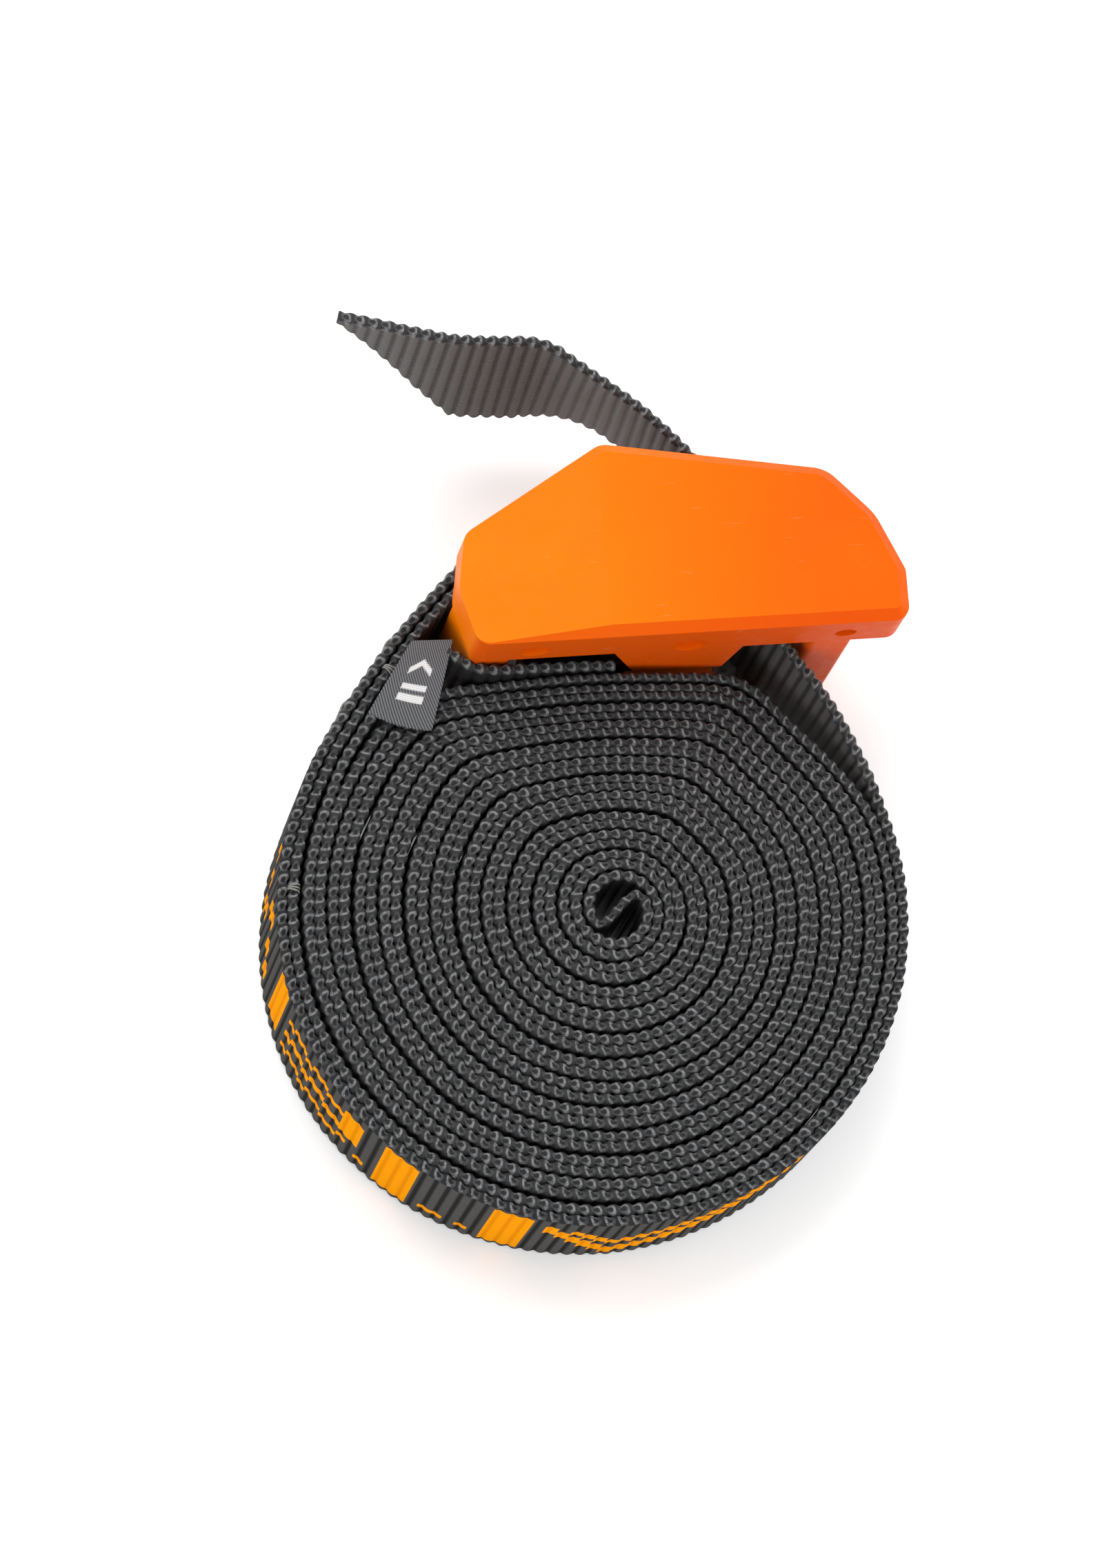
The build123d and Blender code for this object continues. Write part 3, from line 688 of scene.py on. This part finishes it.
def woven_figures(rib, across):
    """Orange yarn on the outer face: separate bars, dashes, stepped rails, a wave and a flat chevron."""
    shown = np.zeros(across.shape, bool)
    for first, last, low, high in BARS:
        shown |= (rib >= first) & (rib < last) & (across > low) & (across < high)
    for first, last, height in DASHES:
        shown |= (rib >= first) & (rib < last) & (np.abs(across - height) < DASH_HALF_W)
    for height in RAILS:
        step = RAIL_STEP * np.sign(np.sin(rib * 1.9))
        shown |= (np.abs(across - height - step) < RAIL_HALF_W) & (rib >= 67) & (rib < 76)
    rise = np.where(rib < CHEVRON_TIP, (CHEVRON_TIP - rib) * 1.2, (rib - CHEVRON_TIP) * 2.7)
    shown |= (np.abs(across - 4.5 - rise) < 2.1) & (rib > 30) & (rib < 51)
    shown |= (np.abs(across - 11.0 - rise * 0.8) < 1.3) & (rib > 33) & (rib < 49)
    shown |= (np.abs(across - 12.5 - 6.5 * np.sin(rib * 1.3)) < 2.2) & (rib > 80) & (rib < 89)
    return shown


plain_webbing = webbing_material("webbing_charcoal", (0.030, 0.0295, 0.029), (0.150, 0.146, 0.140))
figured_webbing = webbing_material(
    "webbing_figured", (0.026, 0.0255, 0.025), (0.125, 0.122, 0.117), figured=True
)
# painted shade: the rolled plies get far darker face colours than the free strap, for the shade between the
# wound plies
shaded_rolled_webbing = webbing_material("webbing_rolled_shaded", (0.004, 0.004, 0.004), (0.022, 0.022, 0.023))

AT_CAM = station(15.6, 61.2)
AT_RING = station(36.7, 15.4)
AT_LEFT_OUT = station(-38.6, 24.6)
AT_LEFT_IN = station(-37.4, 23.4)
AT_CORE = station(*on_circle((0, 0), CORE_R + 0.6, CORE_DEG - 80))

lengths = {}
tail, lengths["tail"] = webbing("webbing_tail", 0, AT_CAM, 26, (7, 7), plain_webbing, slant=TAIL_CUT)
feed, lengths["feed"] = webbing("webbing_feed", AT_CAM, AT_RING, 22, (7, 7), plain_webbing)
wrap, lengths["wrap"] = webbing(
    "webbing_wrap", AT_RING, AT_LEFT_OUT, 42, (7, 5), figured_webbing, figures=woven_figures
)
loop, lengths["loop"] = webbing("webbing_loop", AT_LEFT_OUT, AT_LEFT_IN, 20, (7, 7), plain_webbing)
outer, lengths["outer"] = webbing("webbing_roll_a", AT_LEFT_IN, AT_CORE, 2, (5, 2), shaded_rolled_webbing)
inner, lengths["inner"] = webbing("webbing_roll_b", AT_CORE, len(LINE) - 1, 2, (5, 2), shaded_rolled_webbing)

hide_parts("strap_tail")
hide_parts("strap_feed")
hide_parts("strap_loop")
for piece in (wrap, outer, inner):
    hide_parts("strap_roll")


# ---------------------------------------------------------------- sewing
TACK_ROWS = (0.28, 0.72)
TACKS_PER_ROW = 5
TACK_PITCH = 4.2
THREADS_PER_TACK = 6
THREAD_GAP = 0.5
TACK_SKEW = 0.25
TACK_R = 0.17
KNOT_R = 0.12


def frame_at(number):
    """A station's control row, its direction along the strap and the direction to its left."""
    row, ahead = LINE[number], LINE[number + 1]
    tangent = Vector((ahead[0] - row[0], ahead[1] - row[1])).normalized()
    return row, tangent, Vector((-tangent.y, tangent.x))


def beside_line(station_frame, along, out, z):
    """A drawing point some way along the strap and out from it, at one station."""
    row, tangent, left = station_frame
    return (row[0] + tangent.x * along + left.x * out, row[1] + tangent.y * along + left.y * out, z)


def thread_curve(name):
    """An empty curve with a round section, one millimetre for each unit of a point's radius."""
    curve = bpy.data.curves.new(name, "CURVE")
    curve.dimensions = "3D"
    curve.bevel_depth = MM
    curve.bevel_resolution = 2
    return curve


def stitch(curve, points, radius):
    """Add one short arched thread to a curve."""
    spline = curve.splines.new("NURBS")
    spline.points.add(len(points) - 1)
    for control, point in zip(spline.points, points):
        control.co = (*place(*point), 1.0)
        control.radius = radius
    spline.order_u = 3
    spline.use_endpoint_u = True


def sewing():
    """Two rows of bar tacks on the outer of the doubled plies."""
    curve = thread_curve("loop_seam")
    first, last = station(-38.6, 25.2), station(-23.0, 43.2)
    for share in TACK_ROWS:
        at = frame_at(int(first + (last - first) * share))
        for tack in range(TACKS_PER_ROW):
            middle = at[0][2] + WEB_W / 2 + (tack - (TACKS_PER_ROW - 1) / 2) * TACK_PITCH
            for thread in range(THREADS_PER_TACK):
                z = middle + (thread - (THREADS_PER_TACK - 1) / 2) * THREAD_GAP
                points = []
                for along, out in ((-0.8, 0.62), (-0.6, 0.95), (0.6, 0.95), (0.8, 0.62)):
                    skew = TACK_SKEW * (1 if thread % 2 else -1) * along
                    points.append(beside_line(at, along, out, z + skew))
                stitch(curve, points, TACK_R)
    return curve


def object_of(data, name, material):
    """A piece that rides the strap's body, with its material and slot."""
    piece = bpy.data.objects.new(name, data)
    data.materials.append(material)
    bpy.context.scene.collection.objects.link(piece)
    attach(piece, BODY)
    return piece


def knots():
    """Two small light knots on the inner ply's upper edge, at the ends of the sewn overlap."""
    curve = thread_curve("seam_knots")
    for x, y in ((-28.9, 34.6), (-43.4, 5.7)):
        at = frame_at(station(x, y))
        top = at[0][2] + WEB_W
        for turn, along in enumerate((-0.35, 0.0, 0.35)):
            points = []
            for out, rise in ((-0.85, -0.9), (-0.75, 0.1), (0.0, 0.42), (0.75, 0.1), (0.85, -0.9)):
                shift = along + 0.2 * out * (turn - 1)
                points.append(beside_line(at, shift, out, top + rise))
            stitch(curve, points, KNOT_R)
    return curve


thread = thread_material()
seam = object_of(sewing(), "seam_tacks", thread)
knot = object_of(knots(), "seam_knots", thread)
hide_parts("loop_stitching")


# ---------------------------------------------------------------- size tag
TAG_CORNERS = [(-20.3, 37.2), (-25.9, 37.6), (-32.3, 28.9), (-23.6, 26.0)]
TAG_HEIGHTS = [33.1, 32.4, 28.3, 27.6]
TAG_T = 0.28
TAG_CELLS = 60
TAG_W = 8.0
TAG_L = 11.5
MARK_HALF_W = 0.23
MARK_BARS = (0.70, 0.57)
MARK_BAR_HALF_T = 0.035
MARK_CHEVRON = 0.28
MARK_CHEVRON_SLOPE = 0.5
MARK_CHEVRON_HALF_T = 0.042


def tag_mark(u, v):
    """Where the tag's plain woven mark shows: two bars and a chevron, in shares of the tag."""
    off_middle = np.abs(u - 0.5)
    shown = np.abs(v - MARK_CHEVRON - off_middle * MARK_CHEVRON_SLOPE) < MARK_CHEVRON_HALF_T
    for height in MARK_BARS:
        shown |= np.abs(v - height) < MARK_BAR_HALF_T
    return shown & (off_middle < MARK_HALF_W)


def between_corners(corners, u, v):
    """The tag's corner values blended across it (u) and down it (v)."""
    upper = corners[0] * (1 - u) + corners[1] * u
    lower = corners[3] * (1 - u) + corners[2] * u
    return upper * (1 - v) + lower * v


def size_tag():
    """A thin satin tag that lies out over the roll from the sewn end."""
    grid = np.linspace(0, 1, TAG_CELLS + 1)
    u, v = np.meshgrid(grid, grid)
    flat = between_corners([np.array(point) for point in TAG_CORNERS], u[..., None], v[..., None])
    fray = 0.10 * np.sin(u * 74) * np.sin(u * 31 + 1) * v**12
    flat[..., 1] += -0.55 * v**3 * np.sin(math.pi * u) + fray
    height = between_corners(TAG_HEIGHTS, u, v)
    height += 0.35 * np.sin(math.pi * v) - 0.2 * np.sin(math.pi * u) * v
    layers = [np.dstack([flat, height + TAG_T / 2]), np.dstack([flat, height - TAG_T / 2])]
    points = np.concatenate([layer.reshape(-1, 3) for layer in layers]) * MM + np.array(HOLE)

    side = TAG_CELLS + 1
    under = side * side
    faces = []
    for j in range(TAG_CELLS):
        for i in range(TAG_CELLS):
            a = j * side + i
            quad = [a, a + side, a + side + 1, a + 1]
            faces.append(quad)
            faces.append([n + under for n in reversed(quad)])
    rim = [i for i in range(side)]
    rim += [j * side + side - 1 for j in range(1, side)]
    rim += [(side - 1) * side + i for i in range(side - 2, -1, -1)]
    rim += [j * side for j in range(side - 2, 0, -1)]
    for a, b in zip(rim, rim[1:] + rim[:1]):
        faces.append([a, b, b + under, a + under])

    mesh = bpy.data.meshes.new("size_tag")
    mesh.from_pydata(points.tolist(), [], faces)
    mesh.polygons.foreach_set("use_smooth", [True] * (2 * TAG_CELLS**2) + [False] * len(rim))
    weave = np.stack([u * TAG_W, v * TAG_L, np.zeros(u.shape)], 2).reshape(-1, 3)
    layer = mesh.attributes.new("weave", "FLOAT_VECTOR", "POINT")
    layer.data.foreach_set("vector", np.concatenate([weave, weave]).astype(np.float32).ravel())
    marked = tag_mark(u, v).ravel()
    layer = mesh.attributes.new("mark", "FLOAT", "POINT")
    layer.data.foreach_set("value", np.concatenate([marked, np.zeros(under)]).astype(np.float32))
    mesh.update()
    return mesh


tag = object_of(size_tag(), "size_tag", label_material())
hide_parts("label_tag")

# ---------------------------------------------------------------- the strap's lengths, their supports and their areas
LENGTHS_OF_STRAP = {
    "tail": (tail, "cam"),
    "feed": (feed, "cam"),
    "wrap": (wrap, "floor"),
    "loop": (loop, "loop_bar"),
    "outer": (outer, "floor"),
    "inner": (inner, "floor"),
}
for name, (piece, support) in LENGTHS_OF_STRAP.items():
    area = WEB_W * lengths[name] * MM * MM
    if name == "tail":
        area -= TAIL_CUT * WEB_W / 2 * MM * MM

# ---------------------------------------------------------------- finishes on the CAD nodes
FINISHES = {
    "orange_plastic": plastic_material(),
    "black_plastic": black_plastic_material(),
    "zinc_steel": steel_material(
        "zinc_plate", (0.66, 0.67, 0.66), (0.48, 0.49, 0.47), (0.4, 0.4, 3.0), 0.34
    ),
    "bright_steel": steel_material(
        "turned_steel", (0.72, 0.72, 0.71), (0.62, 0.62, 0.61), (2.0, 2.0, 0.2), 0.26
    ),
    "spring_steel": steel_material(
        "blued_steel", (0.30, 0.30, 0.32), (0.17, 0.17, 0.19), (1.0, 1.0, 1.0), 0.36
    ),
    "cast_zinc": steel_material(
        "cast_zinc", (0.58, 0.58, 0.59), (0.40, 0.40, 0.41), (1.2, 1.2, 1.2), 0.44
    ),
}
for part in frame["record"]["subparts"]:
    finish = FINISHES.get(part["material_slot"])
    if finish:
        node = frame["nodes"][part["node"]]
        node.data.materials.clear()
        node.data.materials.append(finish)

# ---------------------------------------------------------------- studio
IMAGE_H = 214.5
VIEW_DISTANCE = 1.0
SENSOR = 36.0
HOLE_RIGHT = 8.0
HOLE_BELOW = 17.0
TURN_DEG = -4.8
AIM = Vector((-0.142, -0.266, 0.953))
WHITE = (1.0, 1.0, 1.0, 1.0)
SKY_LIGHT = 0.78
FLOOR_LIGHT = 0.22
FLOOR_SIZE = 6
LAMP_SIZE = 0.60
LAMPS = {
    "key": (Vector((-0.20, 0.42, 0.90)), 5.5),
    "fill": (Vector((0.80, 0.10, 0.60)), 1.4),
    "front": (Vector((-0.35, -0.80, 0.55)), 1.6),
}


def studio():
    """Floor, soft lights and the camera, high above the roll and a little towards its lower left."""
    turn = Matrix.Rotation(math.radians(TURN_DEG), 3, "Z")
    facing = turn @ Vector((0, 0, 1)).rotation_difference(AIM.normalized()).to_matrix()
    right, up, towards = facing.col[0], facing.col[1], facing.col[2]
    target = place(0, 0, WEB_W) - right * HOLE_RIGHT * MM + up * HOLE_BELOW * MM

    lens = bpy.data.cameras.new("camera")
    lens.sensor_fit = "VERTICAL"
    lens.sensor_height = SENSOR
    lens.lens = SENSOR * VIEW_DISTANCE / (IMAGE_H * MM)
    camera = bpy.data.objects.new("camera", lens)
    camera.location = target + towards * VIEW_DISTANCE
    camera.rotation_euler = facing.to_euler()
    bpy.context.scene.collection.objects.link(camera)
    bpy.context.scene.camera = camera

    for name, (spot, power) in LAMPS.items():
        light = bpy.data.lights.new(name, "AREA")
        light.size = LAMP_SIZE
        light.energy = power
        lamp = bpy.data.objects.new(name, light)
        lamp.location = spot
        lamp.rotation_euler = (spot - place(0, 20, 15)).to_track_quat("Z", "Y").to_euler()
        bpy.context.scene.collection.objects.link(lamp)

    world = bpy.data.worlds.new("studio")
    world.use_nodes = True
    sky = world.node_tree.nodes["Background"]
    sky.inputs["Color"].default_value = WHITE
    sky.inputs["Strength"].default_value = SKY_LIGHT
    bpy.context.scene.world = world
    bpy.context.scene.view_settings.view_transform = "Standard"

    shade = Shade("floor_paper")
    paper = shade.noise(shade.position(), 0.2, 3.0)
    bpy.ops.mesh.primitive_plane_add(size=FLOOR_SIZE, location=(0, 0, 0))
    floor = bpy.context.object
    floor.name = "floor"
    shade.shader.inputs["Emission Color"].default_value = WHITE
    shade.shader.inputs["Emission Strength"].default_value = FLOOR_LIGHT
    pale = shade.mix(paper, (0.93, 0.93, 0.93), (0.95, 0.95, 0.95))
    floor.data.materials.append(shade.set(colour=pale, roughness=0.8))


studio()
